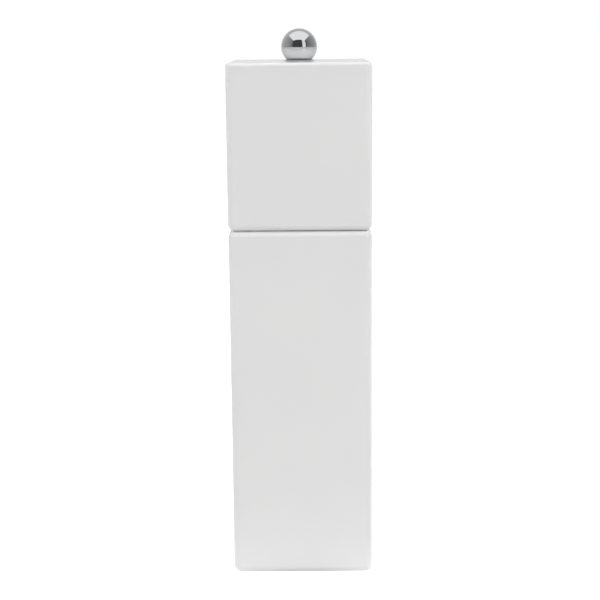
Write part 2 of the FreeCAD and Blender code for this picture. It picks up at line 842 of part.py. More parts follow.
def make_pieces():
    """Every piece of the mill, each an object of the document with its own label."""
    return [
        make_body_block(),
        make_grinder_case(),
        make_screws("case_screws", CASE_SCREWS, FLANGE_BOTTOM),
        make_stator(),
        make_bridge(),
        make_bridge_bush(),
        make_spring(),
        make_thrust_washer(),
        make_rotor(),
        make_rotor_washer(),
        make_rotor_nut(),
        make_shaft(),
        make_shaft_clip(),
        make_glide_ring(),
        make_head_block(),
        make_head_spigot(),
        make_drive_plate(),
        make_screws("drive_plate_screws", PLATE_SCREWS, SPIGOT_BOTTOM),
        make_top_bush(),
        make_knob_collar(),
        make_knob(),
        make_knob_insert(),
    ]


def check(pieces):
    """Stops the build if an object failed or a piece has no sound shape."""
    failed = [o.Name for o in doc.Objects if {"Invalid", "Error"} & set(o.State)]
    unsound = [p.Label for p in pieces if p.Shape.isNull() or not p.Shape.isValid() or not p.Shape.Solids]
    if failed or unsound:
        sys.exit(f"failed objects: {failed}; pieces with no sound shape: {unsound}")


def export(pieces):
    os.makedirs("parts", exist_ok=True)
    for piece in pieces:
        piece.Shape.exportStep(f"parts/{piece.Label}.step")
        print(f"{piece.Label}: {len(piece.Shape.Solids)} solid, {piece.Shape.Volume / 1000:.3f} cm3")


pieces = make_pieces()
doc.recompute()
check(pieces)
export(pieces)
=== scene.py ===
# %% [markdown]
# # A square pepper mill, dressed for the camera
#
# The real mill is two blocks of lacquered hardwood, one turning on the other, with a chrome ball on top.
# Under the lacquer there is a turned beech spigot, a square steel shaft and a pair of steel burrs. The
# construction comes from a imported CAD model. This lesson gives it finishes, light and a camera, and
# remodels the pieces whose edges, threads or inner walls need more care than the plain solids have.

import math

import bmesh
import bpy
from mathutils import Matrix, Vector


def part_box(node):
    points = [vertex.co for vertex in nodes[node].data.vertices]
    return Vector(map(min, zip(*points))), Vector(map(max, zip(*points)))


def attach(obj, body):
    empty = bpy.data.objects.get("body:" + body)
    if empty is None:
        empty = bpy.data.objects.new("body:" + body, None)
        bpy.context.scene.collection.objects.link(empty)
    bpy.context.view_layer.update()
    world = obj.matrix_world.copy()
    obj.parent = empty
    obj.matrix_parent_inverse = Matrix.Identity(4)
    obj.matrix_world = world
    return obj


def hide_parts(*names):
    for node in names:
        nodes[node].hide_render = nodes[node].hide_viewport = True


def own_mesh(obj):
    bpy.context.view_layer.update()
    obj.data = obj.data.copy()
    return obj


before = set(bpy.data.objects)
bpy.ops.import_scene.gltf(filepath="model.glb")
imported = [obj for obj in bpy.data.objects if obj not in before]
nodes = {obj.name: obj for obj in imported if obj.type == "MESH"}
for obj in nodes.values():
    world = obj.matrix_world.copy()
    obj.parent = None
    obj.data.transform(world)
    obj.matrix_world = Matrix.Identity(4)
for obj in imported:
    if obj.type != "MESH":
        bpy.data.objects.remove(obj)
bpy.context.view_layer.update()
MM = 0.001

# %% [markdown]
# ## Camera
#
# A photograph's camera can be found by moving a virtual one until straight edges of the model land on
# the edges in the picture. That was done here with the block's corners, its seam and the ball. The
# answer is a long lens, level with the ball, looking down a little, and tipped by half a degree. A
# rotation is easiest to read as three turns in a row: roll about the lens, tilt up from straight down,
# then turn about the vertical.

# %% Camera
CAMERA_PLACE = Vector((0.00579, -0.63606, 0.24092))
LOOK_DOWN = math.radians(10.875)
TURN_LEFT = math.radians(0.578)
ROLL = math.radians(-0.532)
SENSOR = 36.0
LENS = 85.5

bpy.ops.object.camera_add(location=CAMERA_PLACE)
camera = bpy.context.object
aim = Matrix.Rotation(TURN_LEFT, 4, "Z") @ Matrix.Rotation(math.pi / 2 - LOOK_DOWN, 4, "X")
camera.rotation_euler = (aim @ Matrix.Rotation(ROLL, 4, "Z")).to_euler()
camera.data.sensor_width = SENSOR
camera.data.lens = LENS
bpy.context.scene.camera = camera
print("camera sees", round(math.degrees(2 * math.atan(SENSOR / 2 / LENS)), 1), "degrees")

# %% [markdown]
# ## Ground, sky and lamps
#
# White lacquer on a white ground needs gentle light: too much and the block melts into the ground, too
# little and it turns grey. The sky is a soft fill. It shows as pure white only to the camera and in
# mirrors, so that the ground is white without any more light on the mill. The floor is lifted in the
# same way and keeps the mill's shadow. It also glows a little in a ring round the mill, as a lit table
# does, which brightens the lowest part of the block and leaves a fine dark line where it stands.

# %% Ground and sky
SKY_FILL = 0.20
FLOOR_WHITE = 0.78
FLOOR_LIFT = 0.88
FLOOR_MIRRORED = 0.43
FLOOR_GLOW = 0.36
GLOW_STARTS = (0.031, 0.045)
GLOW_ENDS = (0.090, 0.050)
FLOOR_SIZE = 24.0

scene = bpy.context.scene
scene.view_settings.view_transform = "Standard"


def join_math(tree, operation, one, other):
    """A math node of two inputs, each an output or a number."""
    made = tree.nodes.new("ShaderNodeMath")
    made.operation = operation
    for socket, given in zip(made.inputs, (one, other)):
        if isinstance(given, bpy.types.NodeSocket):
            tree.links.new(given, socket)
        else:
            socket.default_value = given
    return made.outputs[0]


def seen_by(tree, *rays):
    """A socket that is 1 for rays of these kinds, and 0 for all others."""
    path = tree.nodes.new("ShaderNodeLightPath")
    total = 0.0
    for ray in rays:
        total = join_math(tree, "MAXIMUM", total, path.outputs[f"Is {ray} Ray"])
    return total


def make_sky():
    world = bpy.data.worlds.new("soft_sky")
    world.use_nodes = True
    tree = world.node_tree
    background = tree.nodes["Background"]
    background.inputs["Color"].default_value = (1, 1, 1, 1)
    seen = seen_by(tree, "Camera", "Glossy", "Transmission")
    strength = join_math(tree, "MAXIMUM", SKY_FILL, seen)
    tree.links.new(strength, background.inputs["Strength"])
    scene.world = world


def table_glow(tree):
    """Light that the floor gives off in a ring round the mill, but not where the mill stands."""
    coordinates = tree.nodes.new("ShaderNodeTexCoord")
    away = tree.nodes.new("ShaderNodeVectorMath")
    away.operation = "LENGTH"
    tree.links.new(coordinates.outputs["Object"], away.inputs[0])
    total = FLOOR_GLOW
    for dark, light in (GLOW_STARTS, GLOW_ENDS):
        fade = tree.nodes.new("ShaderNodeMapRange")
        fade.interpolation_type = "SMOOTHSTEP"
        tree.links.new(away.outputs["Value"], fade.inputs["Value"])
        fade.inputs["From Min"].default_value, fade.inputs["From Max"].default_value = dark, light
        total = join_math(tree, "MULTIPLY", total, fade.outputs["Result"])
    return total


def make_floor():
    bpy.ops.mesh.primitive_plane_add(size=FLOOR_SIZE)
    floor = bpy.context.object
    floor.name = "floor"
    paper = bpy.data.materials.new("white_paper")
    paper.use_nodes = True
    tree = paper.node_tree
    shader = tree.nodes["Principled BSDF"]
    shader.inputs["Base Color"].default_value = (FLOOR_WHITE, FLOOR_WHITE, FLOOR_WHITE, 1)
    shader.inputs["Roughness"].default_value = 1.0
    shader.inputs["Specular IOR Level"].default_value = 0.0
    shader.inputs["Emission Color"].default_value = (1, 1, 1, 1)
    lift = join_math(tree, "MULTIPLY", seen_by(tree, "Camera", "Transmission"), FLOOR_LIFT)
    mirrored = join_math(tree, "MULTIPLY", seen_by(tree, "Glossy"), FLOOR_MIRRORED)
    glow = join_math(tree, "MULTIPLY", seen_by(tree, "Diffuse"), table_glow(tree))
    total = join_math(tree, "ADD", join_math(tree, "ADD", lift, mirrored), glow)
    tree.links.new(total, shader.inputs["Emission Strength"])
    floor.data.materials.append(paper)


bpy.ops.object.select_all(action="DESELECT")
make_sky()
make_floor()
print("sky fill", SKY_FILL)

# %% [markdown]
# Four soft lamps do the rest. One hangs over the mill like a ceiling panel. Two stand in front, well out
# to the right and the left, so the rounded corners are as bright as the face between them. They are
# higher than the mill, so upward roundings come out brighter than the faces, and downward ones darker. A
# low one behind lights the back. No lamp shows in reflections, because the room below is built for
# those.

# %% Lamps
CEILING_POWER = 6.0
CEILING_SIZE = 1.4
CEILING_HEIGHT = 1.36
SOFTBOX_SIZE = 0.7
KEY_POWER = 4.1
KEY_PLACE = Vector((0.56, -0.32, 0.58))
FILL_POWER = 3.75
FILL_PLACE = Vector((-0.60, -0.34, 0.58))
BACK_POWER = 2.6
BACK_PLACE = Vector((0.20, 0.80, 0.30))
MIDDLE = Vector((0, 0, 0.13))


def soft_lamp(name, place, aim, size, power):
    bpy.ops.object.light_add(type="AREA", location=place)
    lamp = bpy.context.object
    lamp.name = name
    lamp.rotation_euler = (place - aim).to_track_quat("Z", "Y").to_euler()
    lamp.data.size = size
    lamp.data.energy = power
    lamp.visible_glossy = False


soft_lamp("ceiling_panel", Vector((0, 0, CEILING_HEIGHT)), Vector((0, 0, 0)), CEILING_SIZE, CEILING_POWER)
soft_lamp("right_softbox", KEY_PLACE, MIDDLE, SOFTBOX_SIZE, KEY_POWER)
soft_lamp("left_softbox", FILL_PLACE, MIDDLE, SOFTBOX_SIZE, FILL_POWER)
soft_lamp("back_softbox", BACK_PLACE, MIDDLE, SOFTBOX_SIZE, BACK_POWER)
print("lamps of", CEILING_POWER, KEY_POWER, FILL_POWER, "and", BACK_POWER, "watts")

# %% [markdown]
# ## The room in the ball
#
# A chrome ball has no colour of its own: it is a small picture of the room. The photograph's ball shows
# a bright ceiling, a dark wall behind the camera with one bright strip in it, and greyer walls at the
# sides. So the room is built from cards, sized by where their corners fall on the ball. Each card glows,
# from one brightness at its first edge to another at its last. They are seen only in reflections, so
# they neither light the mill nor hide it. The walls stand clear of the floor, so the lacquer mirrors an
# even white below them.

# %% The room in the ball
ROOM_FRONT = -1.10
ROOM_SIDE = 1.05
ROOM_BACK = 2.00
ROOM_TOP = 1.36
WALL_FOOT = 0.19
CEILING_END = 0.57
BACKDROP_TOP = 0.75
BACKDROP_GLOW = 0.72
STRIP_LEFT = 0.46
STRIP_RIGHT = 1.05
STRIP_GAP = 0.01
CEILING_GLOW = 1.0
REAR_GLOW = 0.55
FRONT_GLOW = 0.06
STRIP_GLOW = 0.90
LEFT_GLOWS = (0.66, 0.20)
RIGHT_GLOWS = (0.10, 0.60)


def card(name, first, last, glows):
    """A card between two edges, each given as its two ends, seen only in reflections."""
    bpy.ops.mesh.primitive_plane_add(size=1)
    made = bpy.context.object
    made.name = name
    for vertex, corner in zip(made.data.vertices, (first[0], last[0], first[1], last[1])):
        vertex.co = corner
    light = bpy.data.materials.new(name)
    light.use_nodes = True
    tree = light.node_tree
    tree.nodes.clear()
    across = tree.nodes.new("ShaderNodeSeparateXYZ")
    tree.links.new(tree.nodes.new("ShaderNodeUVMap").outputs["UV"], across.inputs[0])
    blend = tree.nodes.new("ShaderNodeMapRange")
    blend.inputs["To Min"].default_value, blend.inputs["To Max"].default_value = glows
    tree.links.new(across.outputs["X"], blend.inputs["Value"])
    emission = tree.nodes.new("ShaderNodeEmission")
    tree.links.new(blend.outputs["Result"], emission.inputs["Strength"])
    output = tree.nodes.new("ShaderNodeOutputMaterial")
    tree.links.new(emission.outputs[0], output.inputs["Surface"])
    made.data.materials.append(light)
    for ray in ("camera", "diffuse", "transmission", "volume_scatter", "shadow"):
        setattr(made, f"visible_{ray}", False)


def post(x, y, low=WALL_FOOT, high=ROOM_TOP):
    """An upright edge of a wall."""
    return (x, y, low), (x, y, high)


def beam(y):
    """An edge across the ceiling."""
    return (-ROOM_SIDE, y, ROOM_TOP), (ROOM_SIDE, y, ROOM_TOP)


def make_room():
    left, right = -ROOM_SIDE, ROOM_SIDE
    card("wall_left", post(left, ROOM_BACK), post(left, ROOM_FRONT), LEFT_GLOWS)
    card("wall_front", post(left, ROOM_FRONT), post(right, ROOM_FRONT), (FRONT_GLOW, FRONT_GLOW))
    card("wall_right", post(right, ROOM_FRONT), post(right, ROOM_BACK), RIGHT_GLOWS)
    backdrop = [post(x, ROOM_BACK, 0, BACKDROP_TOP) for x in (left, right)]
    card("backdrop", *backdrop, (BACKDROP_GLOW, BACKDROP_GLOW))
    rear = [post(x, ROOM_BACK, BACKDROP_TOP) for x in (left, right)]
    card("wall_rear", *rear, (REAR_GLOW, REAR_GLOW))
    card("ceiling", beam(ROOM_FRONT), beam(CEILING_END), (CEILING_GLOW, CEILING_GLOW))
    card("ceiling_rear", beam(CEILING_END), beam(ROOM_BACK), (REAR_GLOW, REAR_GLOW))
    near = ROOM_FRONT + STRIP_GAP
    strip = [post(x, near) for x in (STRIP_LEFT, STRIP_RIGHT)]
    card("bright_strip", *strip, (STRIP_GLOW, STRIP_GLOW))


make_room()
print("room", 2 * ROOM_SIDE, "by", ROOM_BACK - ROOM_FRONT, "m, ceiling at", ROOM_TOP)

# %% [markdown]
# ## Finishes
#
# Every finish is a few textures feeding one shader. The textures read Object coordinates, in metres, and
# every piece sits at the origin, so a pattern has its real size and runs on from one piece to the next.

# %% Helpers for finishes
# A Mix node repeats its sockets' names for every kind of data, so those for colours go by number.
MIX_FACTOR, MIX_ONE, MIX_OTHER, MIX_RESULT = 0, 6, 7, 2


def new_finish(name, color, metallic=0.0, roughness=0.5):
    """A material with its plain values set, ready for textures."""
    finish = bpy.data.materials.new(name)
    finish.use_nodes = True
    shader = finish.node_tree.nodes["Principled BSDF"]
    shader.inputs["Base Color"].default_value = (*color, 1)
    shader.inputs["Metallic"].default_value = metallic
    shader.inputs["Roughness"].default_value = roughness
    return finish


def shader_of(finish):
    return finish.node_tree.nodes["Principled BSDF"]


def add_node(finish, kind, settings=None, inputs=None):
    """A node with its settings and inputs given by name. An input is a number, a colour or another output."""
    made = finish.node_tree.nodes.new(kind)
    for key, setting in (settings or {}).items():
        setattr(made, key, setting)
    for key, given in (inputs or {}).items():
        if isinstance(given, bpy.types.NodeSocket):
            finish.node_tree.links.new(given, made.inputs[key])
        else:
            made.inputs[key].default_value = given
    return made


def place_on(finish, stretch=(1, 1, 1), shift=(0, 0, 0)):
    """Object coordinates, stretched or shifted."""
    coordinates = add_node(finish, "ShaderNodeTexCoord")
    mapping = add_node(finish, "ShaderNodeMapping", inputs={"Vector": coordinates.outputs["Object"]})
    mapping.inputs["Scale"].default_value = stretch
    mapping.inputs["Location"].default_value = shift
    return mapping.outputs["Vector"]


def grain(finish, place, scale, detail=2.0):
    """Soft noise from 0 to 1. The scale is about one over the size of a blotch, in metres."""
    inputs = {"Vector": place, "Scale": scale, "Detail": detail}
    return add_node(finish, "ShaderNodeTexNoise", inputs=inputs).outputs["Fac"]


def spread(finish, source, low, high, dark=0.3, light=0.7):
    """Stretches noise, which mostly lies between dark and light, over a range of values."""
    inputs = {"Value": source, "From Min": dark, "From Max": light, "To Min": low, "To Max": high}
    return add_node(finish, "ShaderNodeMapRange", inputs=inputs).outputs["Result"]


def tint(finish, source, one, other):
    """A colour that goes from one to the other with the source."""
    mixed = add_node(finish, "ShaderNodeMix", {"data_type": "RGBA"})
    finish.node_tree.links.new(source, mixed.inputs[MIX_FACTOR])
    mixed.inputs[MIX_ONE].default_value = (*one, 1)
    mixed.inputs[MIX_OTHER].default_value = (*other, 1)
    return mixed.outputs[MIX_RESULT]


def feed(finish, **sockets):
    """Links outputs to the shader: color, roughness or normal."""
    names = {"color": "Base Color", "roughness": "Roughness", "normal": "Normal"}
    for key, output in sockets.items():
        finish.node_tree.links.new(output, shader_of(finish).inputs[names[key]])


def bump(finish, height, depth, strength=1.0, under=None):
    """A bump of a real depth, in metres, over another one if given."""
    inputs = {"Height": height, "Distance": depth, "Strength": strength}
    if under is not None:
        inputs["Normal"] = under
    return add_node(finish, "ShaderNodeBump", inputs=inputs).outputs["Normal"]


# %% [markdown]
# ### White lacquer
#
# High-gloss lacquer is sprayed and then levels as it dries, but never quite flat: a mirror in it shows
# the faint ripple that painters call orange peel, a millimetre or two from crest to crest and a few
# thousandths deep. Its white also drifts by a percent or so where the coat is thicker. Both are noise,
# one in the bump and one in the colour.

# %% White lacquer
LACQUER_WHITE = (0.800, 0.800, 0.797)
LACQUER_SHADE = (0.782, 0.783, 0.783)


def white_lacquer():
    finish = new_finish("white_lacquer", LACQUER_WHITE)
    place = place_on(finish)
    cloud = spread(finish, grain(finish, place, 22, 3), 0, 1)
    polish = spread(finish, grain(finish, place, 60, 4), 0.07, 0.12)
    peel = bump(finish, grain(finish, place, 620, 1), 0.1 * MM, 0.02)
    feed(finish, color=tint(finish, cloud, LACQUER_WHITE, LACQUER_SHADE), roughness=polish, normal=peel)
    return finish


LACQUER = white_lacquer()
print("lacquer", LACQUER_WHITE)

# %% [markdown]
# ### Bare beech
#
# Inside, the wood is bare. Beech is pale and pinkish, with faint growth rings and many short dark flecks
# that run along the grain. The rings are a wave about a pith that lies outside the block, as in a board
# sawn from a large log, and the flecks are noise stretched along the height.

# %% Bare beech
BEECH_PALE = (0.64, 0.44, 0.27)
BEECH_DEEP = (0.50, 0.31, 0.17)
BEECH_FLECK = (0.36, 0.20, 0.10)
RING_SPACING = 2.6 * MM
PITH = (0.047, 0.021, 0.0)
WAVE_TURN = 20.0


def bare_beech():
    finish = new_finish("bare_beech", BEECH_PALE, roughness=0.6)
    scale = 2 * math.pi / WAVE_TURN / RING_SPACING
    settings = {"wave_type": "RINGS", "rings_direction": "Z", "wave_profile": "SAW"}
    inputs = {"Vector": place_on(finish, shift=PITH), "Scale": scale, "Distortion": 2.5, "Detail": 2.0}
    rings = add_node(finish, "ShaderNodeTexWave", settings, inputs).outputs["Fac"]
    fibres = grain(finish, place_on(finish, stretch=(1, 1, 0.03)), 1500, 3)
    flecks = spread(finish, grain(finish, place_on(finish, stretch=(1, 1, 0.14)), 1900, 1), 0, 1, 0.62, 0.70)
    wood = tint(finish, rings, BEECH_PALE, BEECH_DEEP)
    flecked = add_node(finish, "ShaderNodeMix", {"data_type": "RGBA"})
    finish.node_tree.links.new(flecks, flecked.inputs[MIX_FACTOR])
    finish.node_tree.links.new(wood, flecked.inputs[MIX_ONE])
    flecked.inputs[MIX_OTHER].default_value = (*BEECH_FLECK, 1)
    rough = spread(finish, fibres, 0.5, 0.72)
    raised = bump(finish, fibres, 0.1 * MM, 0.25)
    feed(finish, color=flecked.outputs[MIX_RESULT], roughness=rough, normal=raised)
    return finish


BEECH = bare_beech()
print("beech rings every", RING_SPACING / MM, "mm")

# %% [markdown]
# ### Metals
#
# A metal's look is mostly in how its surface was made. Chrome is polished, so its only texture is a
# breath of haze, or more of it where the chrome is satin. Drawn bar has fine scratches along its length.
# Turned and pressed pieces have scratches in circles round the axis, which noise gives when it reads the
# distance from the axis alone. Burrs are hardened and blackened, then ground.

# %% Metals
CHROME = (0.72, 0.73, 0.74)
SATIN = (0.90, 0.90, 0.91)
STEEL = (0.56, 0.56, 0.57)
STEEL_DULL = (0.46, 0.46, 0.47)
BURR_BLACK = (0.17, 0.165, 0.16)
BURR_WORN = (0.29, 0.285, 0.28)
BRASS = (0.80, 0.58, 0.27)
BRASS_DULL = (0.62, 0.42, 0.18)


def from_axis(finish):
    """How far a point lies from the mill's axis, in metres."""
    flat = place_on(finish, stretch=(1, 1, 0))
    settings = {"operation": "LENGTH"}
    return add_node(finish, "ShaderNodeVectorMath", settings, {0: flat}).outputs["Value"]


def circles(finish, scale):
    """Scratches in circles round the mill's axis."""
    inputs = {"W": from_axis(finish), "Scale": scale, "Detail": 3.0}
    return add_node(finish, "ShaderNodeTexNoise", {"noise_dimensions": "1D"}, inputs).outputs["Fac"]


def mirror_chrome():
    finish = new_finish("polished_chrome", CHROME, metallic=1.0)
    haze = spread(finish, grain(finish, place_on(finish), 420, 4), 0.02, 0.06)
    feed(finish, roughness=haze)
    return finish


def satin_chrome():
    finish = new_finish("satin_chrome", SATIN, metallic=1.0)
    haze = spread(finish, grain(finish, place_on(finish, stretch=(1, 1, 14)), 900, 3), 0.68, 0.80)
    feed(finish, roughness=haze)
    return finish


def drawn_steel():
    finish = new_finish("drawn_steel", STEEL, metallic=1.0)
    streaks = grain(finish, place_on(finish, stretch=(1, 1, 0.012)), 5200, 3)
    rough = spread(finish, streaks, 0.20, 0.38)
    feed(finish, color=tint(finish, streaks, STEEL, STEEL_DULL), roughness=rough)
    feed(finish, normal=bump(finish, streaks, 0.02 * MM, 0.2))
    return finish


def round_brushed(name, bright, dull, low, high):
    finish = new_finish(name, bright, metallic=1.0)
    scratches = circles(finish, 5200)
    cloud = spread(finish, grain(finish, place_on(finish), 260, 3), 0, 1)
    feed(finish, color=tint(finish, cloud, bright, dull), roughness=spread(finish, scratches, low, high))
    feed(finish, normal=bump(finish, scratches, 0.02 * MM, 0.25))
    return finish


def burr_steel():
    finish = new_finish("burr_steel", BURR_BLACK, metallic=1.0)
    place = place_on(finish)
    worn = spread(finish, grain(finish, place, 1900, 4), 0, 1, 0.40, 0.72)
    grit = grain(finish, place, 4200, 2)
    feed(finish, color=tint(finish, worn, BURR_BLACK, BURR_WORN), roughness=spread(finish, grit, 0.34, 0.56))
    feed(finish, normal=bump(finish, grit, 0.03 * MM, 0.3))
    return finish


CHROME_FINISH = mirror_chrome()
SATIN_CHROME = satin_chrome()
DRAWN_STEEL = drawn_steel()
PRESSED_STEEL = round_brushed("pressed_steel", STEEL, STEEL_DULL, 0.22, 0.40)
TURNED_BRASS = round_brushed("turned_brass", BRASS, BRASS_DULL, 0.20, 0.36)
BURR_FINISH = burr_steel()
print("six metals made")

# %% [markdown]
# ### Natural nylon
#
# The ring in the seam is nylon: slightly warm, matt, and soft-edged because light enters it a little
# way.

# %% Natural nylon
NYLON = (0.74, 0.73, 0.69)
NYLON_SHADE = (0.68, 0.67, 0.62)


def natural_nylon():
    finish = new_finish("natural_nylon", NYLON, roughness=0.5)
    cloud = spread(finish, grain(finish, place_on(finish), 300, 3), 0, 1)
    rough = spread(finish, grain(finish, place_on(finish), 1400, 3), 0.42, 0.6)
    feed(finish, color=tint(finish, cloud, NYLON, NYLON_SHADE), roughness=rough)
    return finish


NYLON_FINISH = natural_nylon()
print("nylon", NYLON)

# %% [markdown]
# ## Modelling helpers
#
# The pieces are modelled as by hand: add a primitive, go into edit mode, pick what to change, and use an
# operator. Operators act on everything selected, so each helper first clears the selection. A turned
# piece starts from one corner of a plane, drawn along its outline like a pencil and then spun about the
# axis, as on a lathe.

# %% Modelling helpers
ROUND_STEPS = 128
SMALL = 1e-7
EDGE_SEGMENTS = 3
EDGE_BEVEL = {"segments": EDGE_SEGMENTS, "limit_method": "ANGLE", "angle_limit": math.radians(25)}
PLANE_CORNER = Vector((-0.5, -0.5, 0))


def take(piece):
    """Makes one piece the only selected and active object."""
    bpy.ops.object.select_all(action="DESELECT")
    piece.select_set(True)
    bpy.context.view_layer.objects.active = piece
    return piece


def start(name):
    """Names the primitive that was just added, and applies its place and size to its mesh."""
    piece = bpy.context.object
    piece.name = name
    bpy.ops.object.transform_apply(location=True, rotation=True, scale=True)
    return piece


def pick(piece, kind, wanted):
    """In edit mode, selects the vertices, edges or faces that a test wants."""
    bpy.ops.mesh.select_mode(type=kind)
    bpy.ops.mesh.select_all(action="DESELECT")
    shape = bmesh.from_edit_mesh(piece.data)
    parts = {"VERT": shape.verts, "EDGE": shape.edges, "FACE": shape.faces}[kind]
    for part in parts:
        if wanted(part):
            part.select_set(True)
    bmesh.update_edit_mesh(piece.data)


def tidy_skin():
    """In edit mode, merges doubled points and turns every face outwards."""
    bpy.ops.mesh.select_all(action="SELECT")
    bpy.ops.mesh.remove_doubles(threshold=SMALL)
    bpy.ops.mesh.normals_make_consistent(inside=False)


def apply(piece, kind, **settings):
    """Adds a modifier and applies it at once."""
    take(piece)
    bpy.ops.object.modifier_add(type=kind)
    modifier = piece.modifiers[-1]
    for key, setting in settings.items():
        setattr(modifier, key, setting)
    bpy.ops.object.modifier_apply(modifier=modifier.name)


def draw(name, points):
    """A line through (radius, height) points, drawn from one corner of a plane by extruding."""
    bpy.ops.object.select_all(action="DESELECT")
    bpy.ops.mesh.primitive_plane_add(size=1)
    piece = start(name)
    bpy.ops.object.mode_set(mode="EDIT")
    pick(piece, "VERT", lambda vertex: vertex.index > 0)
    bpy.ops.mesh.delete(type="VERT")
    bpy.ops.mesh.select_all(action="SELECT")
    places = [Vector((radius, 0, height)) for radius, height in points]
    bpy.ops.transform.translate(value=places[0] - PLANE_CORNER)
    for before, after in zip(places, places[1:]):
        bpy.ops.mesh.extrude_region_move(TRANSFORM_OT_translate={"value": after - before})
    bpy.ops.object.mode_set(mode="OBJECT")
    return piece


def turn(name, points, soften=0.0, steps=ROUND_STEPS):
    """A turned piece from an outline that ends where it starts, or on the axis, with softened corners."""
    piece = draw(name, points)
    bpy.ops.object.mode_set(mode="EDIT")
    bpy.ops.mesh.select_all(action="SELECT")
    bpy.ops.mesh.spin(steps=steps, angle=2 * math.pi, center=(0, 0, 0), axis=(0, 0, 1))
    tidy_skin()
    bpy.ops.object.mode_set(mode="OBJECT")
    if soften:
        apply(piece, "BEVEL", width=soften, **EDGE_BEVEL)
    return piece


def ring(inner, outer, low, high):
    """The closed outline of a plain ring."""
    return [(inner, low), (outer, low), (outer, high), (inner, high), (inner, low)]


def plug(radius, low, high):
    """The outline of a plain cylinder."""
    return [(0, low), (radius, low), (radius, high), (0, high)]


def cut(piece, cutter):
    """Takes a cutter's shape out of a piece. The cut faces get the cutter's finish, and the cutter goes."""
    apply(piece, "BOOLEAN", operation="DIFFERENCE", solver="EXACT", object=cutter, material_mode="TRANSFER")
    bpy.data.objects.remove(cutter)


def weld(piece, *others):
    """Unites solids into one skin, on which each keeps its finish."""
    for other in others:
        apply(piece, "BOOLEAN", operation="UNION", solver="EXACT", object=other, material_mode="TRANSFER")
        bpy.data.objects.remove(other)
    return piece


def smooth(piece, angle=35):
    """Smooth shading that keeps real corners, with flat faces kept flat up to their rounded edges."""
    take(piece)
    bpy.ops.object.shade_smooth_by_angle(angle=math.radians(angle))
    apply(piece, "WEIGHTED_NORMAL", keep_sharp=True, weight=100)
    return piece


def paint(piece, finish):
    piece.data.materials.clear()
    piece.data.materials.append(finish)
    return piece


def settle(piece, body, node):
    """Hands a finished piece to its body, in place of a CAD node."""
    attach(piece, body)
    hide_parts(node)
    print(piece.name, "has", len(piece.data.polygons), "faces, in place of", node)


def reach(node):
    """A round node's largest radius."""
    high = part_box(node)[1]
    return max(high.x, high.y)


def bottom(node):
    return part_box(node)[0].z


def top(node):
    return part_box(node)[1].z


# %% [markdown]
# ## The lacquered blocks
#
# Each block is a cube with its upright edges rounded first and its rims rounded after, which is how a
# router goes round it. A bevel could be a live modifier, but the edges need two radii, so they are
# picked by where they lie. The bores come last: a turned cutter in bare wood leaves wooden walls inside
# the white skin.

# %% The lacquered blocks
CORNER_ROUND = 3.0 * MM
RIM_ROUND = 2.8 * MM
TOP_ROUND = 1.6 * MM
ROUND_SEGMENTS = 10


def level_edges(height):
    """A test for edges that lie at a height."""
    return lambda edge: all(abs(vertex.co.z - height) < SMALL for vertex in edge.verts)


def lacquered_block(name, node, upper_round):
    low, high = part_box(node)
    bpy.ops.object.select_all(action="DESELECT")
    bpy.ops.mesh.primitive_cube_add(size=1, location=(low + high) / 2, scale=high - low)
    block = start(name)
    bpy.ops.object.mode_set(mode="EDIT")
    pick(block, "EDGE", lambda edge: abs(edge.verts[0].co.z - edge.verts[1].co.z) > SMALL)
    bpy.ops.mesh.bevel(offset=CORNER_ROUND, segments=ROUND_SEGMENTS, affect="EDGES")
    for height, radius in ((low.z, RIM_ROUND), (high.z, upper_round)):
        pick(block, "EDGE", level_edges(height))
        bpy.ops.mesh.bevel(offset=radius, segments=ROUND_SEGMENTS, affect="EDGES")
    tidy_skin()
    bpy.ops.object.mode_set(mode="OBJECT")
    return paint(block, LACQUER)


FIT = 0.2 * MM
TURN_FIT = 0.3 * MM
MOUTH_CHAMFER = 0.8 * MM
PAST = 2 * MM


def body_bores():
    """The cutter for the body: flange recess, grinder bore and pepper chamber."""
    recess, case = reach("grinder_case") + FIT, reach("bridge") + FIT
    chamber = reach("head_spigot") + TURN_FIT
    mouth = chamber + MOUTH_CHAMFER
    rim = top("body_block")
    outline = [
        (0, -PAST),
        (recess, -PAST),
        (recess, bottom("stator")),
        (case, bottom("stator")),
        (case, top("bridge")),
        (chamber, top("bridge")),
        (chamber, rim - MOUTH_CHAMFER),
        (mouth, rim),
        (mouth, rim + PAST),
        (0, rim + PAST),
    ]
    return paint(turn("body_bores", outline), BEECH)


TENON_RADIUS = 15.0 * MM
SHAFT_BORE = 5.2 * MM
GLUE = 0.05 * MM
SLIP = 0.1 * MM


def head_bores():
    """The cutter for the head: the ring's seat, the spigot's socket, the shaft's bore and the bush's seat."""
    bush, seat, socket = reach("top_bush") + GLUE, reach("glide_ring") + SLIP, TENON_RADIUS + GLUE
    low, high, ceiling = bottom("head_block"), top("head_block"), top("glide_ring") + SLIP
    outline = [
        (0, low - PAST),
        (seat, low - PAST),
        (seat, ceiling),
        (socket, ceiling),
        (socket, top("head_spigot") + GLUE),
        (SHAFT_BORE, top("head_spigot") + GLUE),
        (SHAFT_BORE, bottom("top_bush")),
        (bush, bottom("top_bush")),
        (bush, high + PAST),
        (0, high + PAST),
    ]
    return paint(turn("head_bores", outline), BEECH)


body = lacquered_block("lacquered_body", "body_block", RIM_ROUND)
cut(body, body_bores())
settle(smooth(body), "base", "body_block")
head = lacquered_block("lacquered_head", "head_block", TOP_ROUND)
cut(head, head_bores())
settle(smooth(head), "head", "head_block")

# %% [markdown]
# ## The ball and its collar
#
# The knob is a turned ball with a flat foot. A sphere is bisected where the foot is, bored for its brass
# insert, and the foot's edge is broken by a small bevel. The collar below it is a thin turned ring,
# which keeps the ball off the lacquer.

